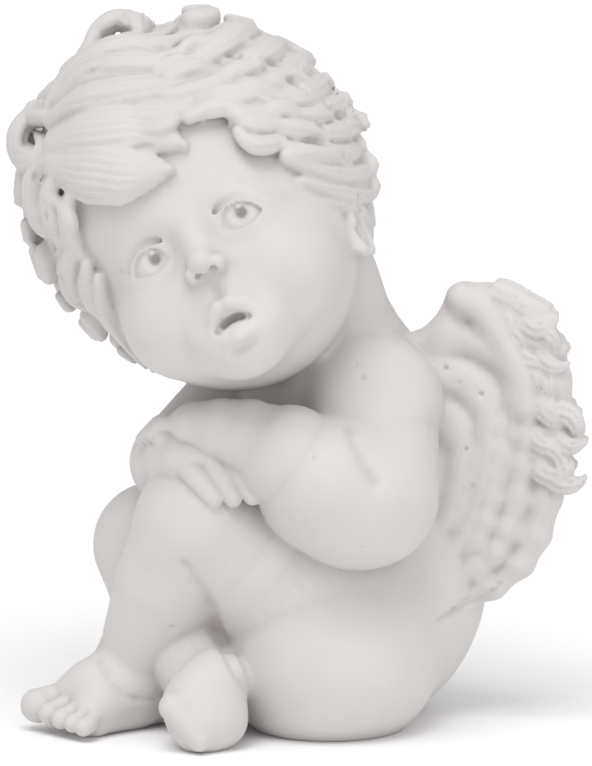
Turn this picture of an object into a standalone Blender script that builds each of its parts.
"""Seated cherub figurine, cast in one piece.

The child sits with the knees drawn up, the ankles crossed and the arms folded on the knees. The head rests
on the arms and is turned to the viewer, who stands at -Y. Two small wings spread from the back.

The figure is laid out in units. One unit is 1/UNITS_TALL of the height, which is about a millimetre.
"""

import math
import random

import bmesh
import bpy
from mathutils import Matrix, Vector

HEIGHT = 0.1802
UNITS_TALL = 180.2
UNIT = HEIGHT / UNITS_TALL

NAME = "angel_figurine"
PLASTER = (0.86, 0.855, 0.85, 1.0)
PLASTER_ROUGHNESS = 0.62

# Mesh fineness
SKIN_VOXEL = 1.3 * UNIT
CARVED_VOXEL = 0.9 * UNIT
SKIN_PASSES = 8
CARVED_PASSES = 2
MOST_TRIANGLES = 9600

# Body frame: the chest faces FORWARD, the figure's own left is LEFT
BODY_TURN = math.radians(35)
FORWARD = Vector((-math.cos(BODY_TURN), -math.sin(BODY_TURN), 0))
LEFT = Vector((math.sin(BODY_TURN), -math.cos(BODY_TURN), 0))
UP = Vector((0, 0, 1))
SPINE = Vector((8, 12, 0))

# Head frame: x to the figure's left, -y out of the face, z to the crown
HEAD_CENTRE = Vector((-14, -11.5, 125))
HEAD_ROLL = math.radians(27)
HEAD_PITCH = math.radians(21)
HEAD_YAW = math.radians(8)
HEAD_SCALE = 1.1
SKULL_CENTRE = Vector((-3.4, 3.1, 11.3))
SKULL_RADII = Vector((33, 36, 36))
CAP_CENTRE = SKULL_CENTRE + Vector((0, 4, 3))
CAP_RADII = SKULL_RADII + Vector((3, 3, 3))

# The viewer looks from -Y, this far above level
VIEW_SLOPE = math.radians(10)

HAIR_SEED = 11
CURLS = 92
# A curl lies where the way out of the head, towards the viewer, is at most this
TURNED_AWAY = 0.12

HEAD_TURN = (
    Matrix.Rotation(-HEAD_ROLL, 3, "Y")
    @ Matrix.Rotation(-HEAD_PITCH, 3, "X")
    @ Matrix.Rotation(-HEAD_YAW, 3, "Z")
)


def unit_sphere(detail):
    """Points of an icosphere of radius 1."""
    bm = bmesh.new()
    bmesh.ops.create_icosphere(bm, subdivisions=detail, radius=1.0)
    points = [v.co.copy() for v in bm.verts]
    bm.free()
    return points


COARSE_SPHERE = unit_sphere(2)
FINE_SPHERE = unit_sphere(3)


def ball(centre, radii, turn=None):
    """An ellipsoid as a cloud of points. One number for radii gives a sphere."""
    radii = Vector((radii,) * 3) if isinstance(radii, (int, float)) else Vector(radii)
    turn = turn or Matrix.Identity(3)
    sphere = FINE_SPHERE if max(radii) > 9 else COARSE_SPHERE
    centre = Vector(centre)
    return [centre + turn @ Vector((p.x * radii.x, p.y * radii.y, p.z * radii.z)) for p in sphere]


def add_hull(target, *clouds):
    """Adds the convex hull of the clouds to the bmesh in target."""
    bm = bmesh.new()
    for cloud in clouds:
        for point in cloud:
            bm.verts.new(point * UNIT)
    hull = bmesh.ops.convex_hull(bm, input=bm.verts)
    inside = set(hull["geom_interior"] + hull["geom_unused"])
    bmesh.ops.delete(bm, geom=[g for g in inside if isinstance(g, bmesh.types.BMVert)], context="VERTS")
    bmesh.ops.recalc_face_normals(bm, faces=bm.faces)
    mesh = bpy.data.meshes.new("hull")
    bm.to_mesh(mesh)
    bm.free()
    target.from_mesh(mesh)
    bpy.data.meshes.remove(mesh)


def add_limb(target, *stations):
    """A limb through balls given as (centre, radius): each neighbouring pair is joined by a hull."""
    clouds = [ball(centre, radius) for centre, radius in stations]
    for first, second in zip(clouds, clouds[1:]):
        add_hull(target, first, second)


def to_head(cloud):
    """Points of the head frame as points of the figure."""
    return [HEAD_CENTRE + HEAD_TURN @ (p * HEAD_SCALE) for p in cloud]


def from_body(side, forward, up):
    """A point given to the figure's left of the spine, forward of it and above the base."""
    return SPINE + LEFT * side + FORWARD * forward + UP * up


def add_trunk(skin):
    add_hull(skin, ball((12, -13, 18), (28, 29, 24)))
    add_hull(skin, ball((21.5, 8, 29), (28.5, 27, 31)))
    add_hull(skin, ball((-10, 19, 24), (27, 26, 27)))
    add_limb(skin, ((24, 10, 38), 27), ((13, 8, 62), 27), ((10, 6, 80), 21))
    add_limb(skin, ((23, -12, 82), 16.5), ((9, 7, 84), 18), ((-4, 25, 81), 16))
    add_limb(skin, ((14, 5, 90), 20), ((7, 1, 110), 18))
    add_hull(skin, ball((-10, -8, 60), 20), ball((4, 4, 50), 24))


def add_legs(skin):
    add_limb(skin, ((12, -9, 28), 26), ((-6, -15, 44), 21), ((-20, -22, 54), 16.5))
    add_limb(skin, ((-20, -22, 54), 16.5), ((-28, -17, 38), 14), ((-35, -11, 19), 11))
    add_limb(skin, ((-8, 20, 28), 24), ((-32, 5, 44), 15))
    add_limb(skin, ((-32, 4, 43), 15), ((-28, -6, 26), 13), ((-19, -24, 14), 10))
    add_limb(skin, ((-29, -6, 8), 9), ((-38, -11, 11), 10), ((-46, -15, 9.5), 9))
    add_hull(
        skin,
        ball((-38, -11, 10), 9),
        ball((-54.5, -13, 7.2), (6, 6, 5.6)),
        ball((-49, -25, 5), (6, 6, 5)),
    )


def add_arms(skin):
    add_limb(skin, ((23, -14, 82), 16.5), ((21, -27, 62), 18.5))
    add_limb(
        skin,
        ((17, -31, 62), 17.5),
        ((0, -35, 68), 18),
        ((-9, -32, 77.5), 10.8),
        ((-15, -31, 79.5), 8),
        ((-22, -29, 80.5), 5.6),
    )
    add_limb(skin, ((-4, 25, 80), 16), ((-27, -8, 67), 11))
    add_limb(skin, ((-27, -9, 67), 10.5), ((-27, -22, 70), 8), ((-25, -29, 71), 6.5))


def add_head(skin):
    add_hull(skin, to_head(ball(SKULL_CENTRE, SKULL_RADII * 0.98)))
    add_hull(skin, to_head(ball((-1, -3, -6), (29, 30, 30))))
    for side in (-1, 1):
        add_hull(skin, to_head(ball((side * 13, -18, -17), (13.5, 13, 12.5))))
    add_hull(skin, to_head(ball((0, -17, -24), 12)), to_head(ball((0, -25, -31), 7)))


def add_feet(carved):
    """The left foot's toes in a row, and the right foot turned to the viewer."""
    for step in range(5):
        share = step / 4
        radius = 5.0 - 1.7 * share
        knuckle = Vector((-54.5 + 7 * share, -14 - 14 * share, 8.3 - 2.2 * share))
        tip = Vector((-61.5 + 12 * share, -17.5 - 15 * share, 6.6 - 2.6 * share))
        add_limb(carved, (knuckle, radius * 0.95), (tip, radius))
    add_hull(
        carved,
        ball((-17, -36, 17), (8, 8, 9)),
        ball((-22, -37, 9), (9, 8, 9)),
        ball((-16, -37, 7), (8, 8, 7)),
    )
    add_limb(carved, ((-20, -37, 19), 7), ((-27, -41, 16.5), 6))
    for step in range(4):
        share = step / 3
        tip = Vector((-27 + 5.5 * share, -45 - 2.5 * share, 10.5 - 7 * share))
        add_limb(carved, ((-19, -38, 10 - 3 * share), 6), (tip, 4.1 - 0.5 * share))


RIGHT_FINGERS = (
    # knuckle, joint and tip, on the near knee
    ((-28, -27, 71.8), (-22.5, -33.5, 67.3), (-16.5, -35.5, 62.0)),
    ((-25, -30, 75.3), (-17, -35.5, 69.2), (-10.5, -36.5, 62.8)),
    ((-21, -33, 76.9), (-12.5, -39.0, 71.8), (-7, -41.0, 66.1)),
)
LEFT_FINGERS = (
    # on the far arm, under the chin
    ((-24, -29, 80.5), (-29.5, -26.5, 80.0), (-32.5, -24.0, 77.0)),
    ((-24, -25, 80.5), (-30.5, -22.5, 79.7), (-34.0, -20.5, 76.0)),
    ((-24, -21, 79.5), (-31.0, -18.5, 78.7), (-35.0, -17.0, 74.5)),
    ((-24, -17, 78.5), (-30.5, -15.0, 77.7), (-34.5, -13.5, 73.5)),
)


def add_hands(carved):
    """The right hand on the left knee, and the left hand on the right arm."""
    add_limb(carved, ((-25, -27, 72), 6.5), ((-21, -31, 72.5), 5.5))
    for knuckle, joint, tip in RIGHT_FINGERS:
        add_limb(carved, (knuckle, 3.1), (joint, 2.9), (tip, 2.4))
    for knuckle, joint, tip in LEFT_FINGERS:
        add_limb(carved, (knuckle, 3.0), (joint, 2.6), (tip, 2.2))


def press(bm, centre, reach, push):
    """Presses the skin around a point of the head, as a thumb presses clay."""
    centre = to_head([Vector(centre)])[0] * UNIT
    push = HEAD_TURN @ Vector(push) * UNIT
    for vert in bm.verts:
        gap = (vert.co - centre).length / (reach * UNIT)
        if gap < 1:
            vert.co += push * (1 - gap * gap) ** 2


def press_face(bm):
    """The hollows of the eyes and mouth, the dip of the nose bridge and the fold under the lower lip."""
    for side in (-1, 1):
        press(bm, (side * 11.6, -30, -4), 9.5, (0, 4.0, 0))
    press(bm, (0, -33, 0), 7, (0, 1.5, 0))
    press(bm, (0, -32, -31.5), 5, (0, 2.0, 0))


def add_face(carved):
    add_limb_in_head(carved, ((0, -29.5, 0), 3.0), ((0, -31.2, -6), 2.9), ((0, -33.6, -11.2), 3.1))
    for side in (-1, 1):
        add_hull(carved, to_head(ball((side * 3.2, -32.2, -12.6), 2.2)))
        add_hull(carved, to_head(ball((side * 11.6, -24.2, -5), (6.4, 6, 5.2))))
        # Upper lid, lower lid, upper lip and lower lip
        add_limb_in_head(
            carved,
            ((side * 5.6, -29.2, -7), 0.8),
            ((side * 8.2, -30, -2.4), 1.1),
            ((side * 12, -29.8, -0.6), 1.2),
            ((side * 16, -27.6, -2.2), 1.1),
            ((side * 18.4, -25.2, -5.5), 0.9),
        )
        add_limb_in_head(
            carved,
            ((side * 6.2, -29, -7.8), 0.8),
            ((side * 11.5, -29, -9.8), 1.0),
            ((side * 17.4, -26, -6.8), 0.9),
        )
        add_limb_in_head(
            carved,
            ((0, -33.2, -20.8), 1.5),
            ((side * 2.6, -32.8, -21), 1.4),
            ((side * 5.6, -30.6, -24.4), 1.0),
        )
        add_limb_in_head(
            carved,
            ((0, -32, -27), 1.7),
            ((side * 3, -31.5, -26.6), 1.5),
            ((side * 5.6, -30.4, -24.8), 1.0),
        )
        # Rim of the ear
        add_limb_in_head(
            carved,
            ((side * 26, -3, -7), 2.6),
            ((side * 29, 1, -5), 3),
            ((side * 29.5, 5, -11), 3),
            ((side * 27, 3, -18), 2.8),
            ((side * 24.5, -1, -20), 2.4),
        )


def add_limb_in_head(target, *stations):
    clouds = [to_head(ball(centre, radius)) for centre, radius in stations]
    for first, second in zip(clouds, clouds[1:]):
        add_hull(target, first, second)


def shared_out(a, b):
    """The numbers of a, each divided by its fellow in b."""
    return Vector([x / y for x, y in zip(a, b)])


def seen(across, up, lift):
    """Over the head and lift off it, the point that the viewer sees at (across, up), and the way out of the
    head there. Past the head's edge the point is level with that edge."""
    found = []
    for middle, radii in ((SKULL_CENTRE, SKULL_RADII), (CAP_CENTRE, CAP_RADII)):
        middle = HEAD_CENTRE + HEAD_TURN @ (middle * HEAD_SCALE)
        radii = radii * HEAD_SCALE + Vector((lift, lift, lift))
        start = Vector((across, 0, up / math.cos(VIEW_SLOPE))) - middle
        eye = shared_out(HEAD_TURN.transposed() @ start, radii)
        look = Vector((0, math.cos(VIEW_SLOPE), -math.sin(VIEW_SLOPE)))
        look = shared_out(HEAD_TURN.transposed() @ look, radii)
        half = eye @ look
        root = half * half - look.length_squared * (eye.length_squared - 1)
        local = eye - look * (half + math.sqrt(max(root, 0))) / look.length_squared
        point = middle + HEAD_TURN @ (local * radii)
        found.append((root < 0, point.y, point, HEAD_TURN @ shared_out(local, radii)))
    point, out = min(found[::-1], key=lambda f: f[:2])[2:]
    return point, out.normalized()


def scalp(around, above, lift):
    """Over the hair's cap and lift off it, the point that lies (around, above) degrees from the face:
    around to the figure's left and above the cap's middle. Also the way out of the cap there."""
    a, e = math.radians(around), math.radians(above)
    local = Vector((math.sin(a) * math.cos(e), -math.cos(a) * math.cos(e), math.sin(e)))
    radii = CAP_RADII * HEAD_SCALE + Vector((lift, lift, lift))
    middle = HEAD_CENTRE + HEAD_TURN @ (CAP_CENTRE * HEAD_SCALE)
    return middle + HEAD_TURN @ (local * radii), (HEAD_TURN @ shared_out(local, radii)).normalized()


def add_lock(target, knots, width, thick, lift):
    """A lock of hair through knots, points (across, up) as the viewer sees them. It starts narrow, swells
    and ends in a point."""
    steps = 2 * (len(knots) - 1)
    clouds = []
    for i in range(steps + 1):
        share = i / steps
        at = share * (len(knots) - 1)
        k = min(int(at), len(knots) - 2)
        across, up = (a + (b - a) * (at - k) for a, b in zip(knots[k], knots[k + 1]))
        point, out = seen(across, up, lift * math.sin(math.pi * min(1, 0.2 + 0.9 * share)) + 1)
        swell = min(1, 0.5 + 1.6 * share) * min(1, 0.22 + 2.4 * (1 - share)) ** 0.8
        turn = out.to_track_quat("Z", "Y").to_matrix()
        clouds.append(ball(point, (width * swell, width * swell, thick * (0.4 + 0.6 * swell)), turn))
    for first, second in zip(clouds, clouds[1:]):
        add_hull(target, first, second)


def add_curl(target, around, above, size, heading, hand):
    """A comma of hair: it lies along its heading, turns to one side, narrows, and lifts at the tip."""
    steps = 6
    turn = scalp(around, above, 0)[1].to_track_quat("Z", "Y").to_matrix()
    clouds = []
    spot = Vector((-0.5 * size * math.cos(heading), -0.5 * size * math.sin(heading), 0))
    for i in range(steps + 1):
        share = i / steps
        angle = heading + hand * math.radians(230) * (share - 0.25)
        spot += Vector((math.cos(angle), math.sin(angle), 0)) * size * 2.1 / steps
        middle = scalp(around, above, 0.5 + 2.5 * share + math.sin(math.pi * share))[0]
        width = size * (0.62 - 0.34 * share)
        clouds.append(ball(middle + turn @ spot, (width, width, width * 0.9), turn))
    for first, second in zip(clouds, clouds[1:]):
        add_hull(target, first, second)


LOCKS = (
    # width, thickness, lift, then knots as the viewer sees them: across and up
    # The forelock
    (6.8, 3.6, 3, ((-57, 144), (-47, 146.5), (-36, 147), (-24.5, 143.5))),
    (6.8, 3.6, 3, ((-57, 139.5), (-47, 137.5), (-37, 137), (-28, 137.5))),
    # Over the brow, towards the parting
    (4.5, 3.6, 3, ((-57, 150), (-49.5, 155), (-37, 157), (-29, 157.5), (-17, 160))),
    (3.2, 2.6, 2, ((-46, 152), (-38, 151.5), (-28.5, 152), (-20.5, 154), (-10, 156.5))),
    (4.6, 3.6, 3, ((-57, 154), (-53, 160.5), (-46.5, 165.5), (-39.5, 168), (-31.5, 168.5), (-24.5, 170))),
    (4.6, 3.6, 3, ((-55, 155.5), (-48, 161.5), (-38, 163.5), (-29, 163.5), (-24, 166))),
    (3.2, 2.6, 2, ((-33, 155), (-24, 156.5), (-16.5, 158.5), (-10.5, 161), (-4, 164))),
    (3.0, 2.6, 2, ((-22, 154.5), (-14, 156.5), (-7, 156), (0, 153), (6, 150))),
    # Curls along the top
    (3.4, 3.0, 3, ((-48.5, 167), (-46, 172.5), (-41.5, 175.5), (-37, 174.5), (-36.5, 171), (-39.5, 169.5))),
    (3.4, 3.0, 3, ((-11.5, 162), (-14.5, 167), (-13, 171.5), (-9, 173.5), (-6.5, 170.5), (-8.5, 168))),
    (3.2, 3.0, 3, ((-5, 157), (-1, 161), (-0.5, 165), (-3, 168), (-6, 166))),
    (3.2, 2.6, 3, ((-4, 153), (3, 154.5), (6.5, 158.5), (4.5, 162.5), (1, 161.5))),
    (2.8, 2.6, 3, ((5, 148), (8, 153), (12.5, 155.5), (14.5, 153), (13, 150), (10.5, 150))),
    (2.6, 2.4, 3, ((12, 144.5), (15.5, 149.5), (18.8, 149), (19, 146), (16.5, 145))),
    # Swept back from the temple
    (3.0, 2.6, 2, ((-7, 149.5), (1, 148), (7.5, 147), (10, 144), (8, 141.5))),
    (2.8, 2.4, 2, ((-2, 144.5), (6.5, 141.5), (14.5, 141.5), (19.5, 144), (17.5, 147))),
    (3.0, 2.6, 2, ((1, 140), (10, 137), (18, 136.5), (22.5, 139), (20.5, 142.5))),
    (3.0, 2.6, 2, ((5, 134.5), (12.5, 132.5), (19.5, 131.5), (23, 134), (21, 137))),
    (3.0, 2.6, 2, ((8, 129.5), (15, 129), (20, 125.5), (20.5, 120), (18, 114.5), (14.5, 113))),
    # Down the far temple
    (3.4, 3.0, 3, ((-57, 151), (-63, 151), (-66, 147), (-65.5, 142), (-62, 140), (-59.5, 143.5), (-61, 147))),
    (3.4, 3.0, 2, ((-57, 141), (-61.5, 136.5), (-62, 130), (-60, 124), (-56.5, 121))),
    (3.2, 2.8, 2, ((-54.5, 138), (-57.5, 132.5), (-57, 126), (-54.5, 120.5), (-51, 117.5))),
    (2.8, 2.4, 2, ((-52, 132), (-53.5, 126), (-51.5, 118.5), (-48, 114.5))),
    (3.2, 2.8, 2, ((-52, 119), (-53, 113), (-52, 106.5), (-47.5, 103))),
    (2.8, 2.4, 2, ((-48.5, 114), (-48.5, 108.5), (-46, 103), (-42, 100))),
    (2.8, 2.4, 2, ((-45.5, 110.5), (-44.5, 104), (-40.5, 97), (-34, 89))),
)


def add_hair(carved):
    add_hull(carved, to_head(ball(CAP_CENTRE, CAP_RADII)))
    for width, thick, lift, knots in LOCKS:
        add_lock(carved, knots, width, thick, lift)
    chance = random.Random(HAIR_SEED)
    golden = math.pi * (3 - math.sqrt(5))
    to_viewer = Vector((0, -math.cos(VIEW_SLOPE), math.sin(VIEW_SLOPE)))
    for i in range(CURLS):
        height = 0.97 - 1.62 * i / CURLS
        above = math.degrees(math.asin(height))
        around = math.degrees(i * golden) % 360
        from_face = min(around, 360 - around)
        out = scalp(around, above, 0)[1]
        if out @ to_viewer > TURNED_AWAY or from_face < 66 + (20 - above) * 0.25:
            continue
        hand = 1 if i % 2 else -1
        size = chance.uniform(6.6, 8.2)
        heading = math.radians(-90) + hand * 0.4 + chance.uniform(-0.5, 0.5)
        add_curl(carved, around, above, size, heading, hand)


def wing_point(side, span, up, off=0.0):
    """A point on a wing: side is +1 for the figure's left, span runs out from the back, and off stands
    off the wing's rear face."""
    sweep = math.radians(45)
    out = 26 + span * math.cos(sweep) - off * math.sin(sweep)
    back = 12 + span * math.sin(sweep) + off * math.cos(sweep)
    return from_body(side * out, -back, up)


def add_feather(carved, side, root, tip, width, off, bend=0.0):
    """A feather from root to tip, each (span, up). It swells in the middle and ends in a blunt point."""
    clouds = []
    steps = 4
    for i in range(steps + 1):
        share = i / steps
        span = root[0] + (tip[0] - root[0]) * share + bend * math.sin(math.pi * share)
        up = root[1] + (tip[1] - root[1]) * share
        swell = width * (0.55 + 0.45 * math.sin(math.pi * min(1, 0.2 + share * 0.75)))
        if i == steps:
            swell *= 0.55
        clouds.append(ball(wing_point(side, span, up, off * (1 - 0.3 * share)), (swell, swell, swell)))
    for first, second in zip(clouds, clouds[1:]):
        add_hull(carved, first, second)


WING_RIM = (
    (-9, 88), (0, 94), (8, 98), (13.5, 107.5), (19, 107.5), (25, 106), (31, 102), (34.5, 96),
    (36, 88), (37, 78), (35.5, 68), (34.5, 58), (32, 48), (28, 40.5), (21, 34.5), (10, 30),
)
LOWER_TIPS = (
    (35, 62), (34.5, 55), (33, 48.5), (30, 42.5), (26.5, 37.5), (22, 34), (17, 31.5), (11, 29.5), (6, 28),
)
OUTER_TIPS = ((31, 107), (36.5, 104), (39.5, 96), (39.5, 87), (42.5, 79.5), (42, 71.5), (41.5, 66))


def rim_radius(up):
    """The wing's edge is thick above and thinner below."""
    return 3.0 + 1.4 * min(1, max(0, (up - 40) / 40))


def add_wing(carved, side):
    hub = ball(wing_point(side, -4, 60, 0), 8)
    rim = [ball(wing_point(side, span, up, 1), rim_radius(up)) for span, up in WING_RIM]
    for first, second in zip(rim, rim[1:]):
        add_hull(carved, first, second, hub)
    ridge = ((13, 109), (18, 106), (23.5, 99.5), (28.5, 90), (29.5, 82))
    for first, second in zip(ridge, ridge[1:]):
        add_hull(carved, *(ball(wing_point(side, span, up, -3), 3.2) for span, up in (first, second)))
    for off in (-2.5, 4.0):
        for i, tip in enumerate(LOWER_TIPS):
            share = i / (len(LOWER_TIPS) - 1)
            root = (22 - 22 * share, 84 - 38 * share)
            add_feather(carved, side, root, tip, 4.0, off * 0.7, 2.0)
        for i, tip in enumerate(OUTER_TIPS):
            root = (tip[0] - 10, tip[1] + 3)
            add_feather(carved, side, root, tip, 4.2, off, -1.5)
            root = (tip[0] - 15, tip[1] - 2)
            add_feather(carved, side, root, (tip[0] - 6, tip[1] - 11), 3.6, off * 1.3, 1.5)


def flat_bottomed(obj):
    """Cuts the object off at the plane it stands on."""
    bm = bmesh.new()
    bm.from_mesh(obj.data)
    cut = bmesh.ops.bisect_plane(
        bm,
        geom=bm.verts[:] + bm.edges[:] + bm.faces[:],
        plane_co=(0, 0, 0),
        plane_no=(0, 0, 1),
        clear_inner=True,
    )
    rim = [g for g in cut["geom_cut"] if isinstance(g, bmesh.types.BMEdge)]
    bmesh.ops.holes_fill(bm, edges=rim)
    bmesh.ops.recalc_face_normals(bm, faces=bm.faces)
    bm.to_mesh(obj.data)
    bm.free()


def new_object(name, bm, collection):
    mesh = bpy.data.meshes.new(name)
    bm.to_mesh(mesh)
    bm.free()
    obj = bpy.data.objects.new(name, mesh)
    collection.objects.link(obj)
    return obj


def fused(obj, voxel, passes):
    """Melts overlapping forms into one skin and softens the creases."""
    remesh = obj.modifiers.new("melt", "REMESH")
    remesh.mode = "VOXEL"
    remesh.voxel_size = voxel
    smooth = obj.modifiers.new("soften", "SMOOTH")
    smooth.factor = 0.5
    smooth.iterations = passes
    bpy.context.view_layer.update()
    graph = bpy.context.evaluated_depsgraph_get()
    mesh = bpy.data.meshes.new_from_object(obj.evaluated_get(graph))
    obj.modifiers.clear()
    obj.data = mesh
    return obj


def outer_skin_only(obj):
    """Removes pockets that the melting closed off inside."""
    bm = bmesh.new()
    bm.from_mesh(obj.data)
    left = set(bm.verts)
    shells = []
    while left:
        shell = [left.pop()]
        for vert in shell:
            for edge in vert.link_edges:
                other = edge.other_vert(vert)
                if other in left:
                    left.remove(other)
                    shell.append(other)
        shells.append(shell)
    shells.sort(key=len)
    for shell in shells[:-1]:
        bmesh.ops.delete(bm, geom=shell, context="VERTS")
    bm.to_mesh(obj.data)
    bm.free()


def plaster():
    material = bpy.data.materials.new("white_plaster")
    material.use_nodes = True
    shader = material.node_tree.nodes["Principled BSDF"]
    shader.inputs["Base Color"].default_value = PLASTER
    shader.inputs["Roughness"].default_value = PLASTER_ROUGHNESS
    shader.inputs["Metallic"].default_value = 0.0
    return material


def main():
    for obj in list(bpy.data.objects):
        bpy.data.objects.remove(obj)
    collection = bpy.data.collections.new(NAME)
    bpy.context.scene.collection.children.link(collection)

    skin = bmesh.new()
    add_trunk(skin)
    add_legs(skin)
    add_arms(skin)
    add_head(skin)
    figure = fused(new_object(NAME, skin, collection), SKIN_VOXEL, SKIN_PASSES)

    carved = bmesh.new()
    carved.from_mesh(figure.data)
    press_face(carved)
    add_feet(carved)
    add_hands(carved)
    add_face(carved)
    add_hair(carved)
    for side in (-1, 1):
        add_wing(carved, side)
    bpy.data.objects.remove(figure)
    figure = fused(new_object(NAME, carved, collection), CARVED_VOXEL, CARVED_PASSES)
    outer_skin_only(figure)

    triangles = sum(len(p.vertices) - 2 for p in figure.data.polygons)
    thin = figure.modifiers.new("thin", "DECIMATE")
    thin.ratio = MOST_TRIANGLES / triangles
    bpy.context.view_layer.update()
    graph = bpy.context.evaluated_depsgraph_get()
    mesh = bpy.data.meshes.new_from_object(figure.evaluated_get(graph))
    figure.modifiers.clear()
    figure.data = mesh
    flat_bottomed(figure)
    low = Vector([min(v.co[i] for v in mesh.vertices) for i in range(3)])
    high = Vector([max(v.co[i] for v in mesh.vertices) for i in range(3)])
    mesh.transform(Matrix.Translation(Vector((-(low.x + high.x) / 2, -(low.y + high.y) / 2, -low.z))))
    figure.data.materials.clear()
    figure.data.materials.append(plaster())
    figure.data.shade_smooth()
    figure.data.set_sharp_from_angle(angle=math.radians(50))


main()
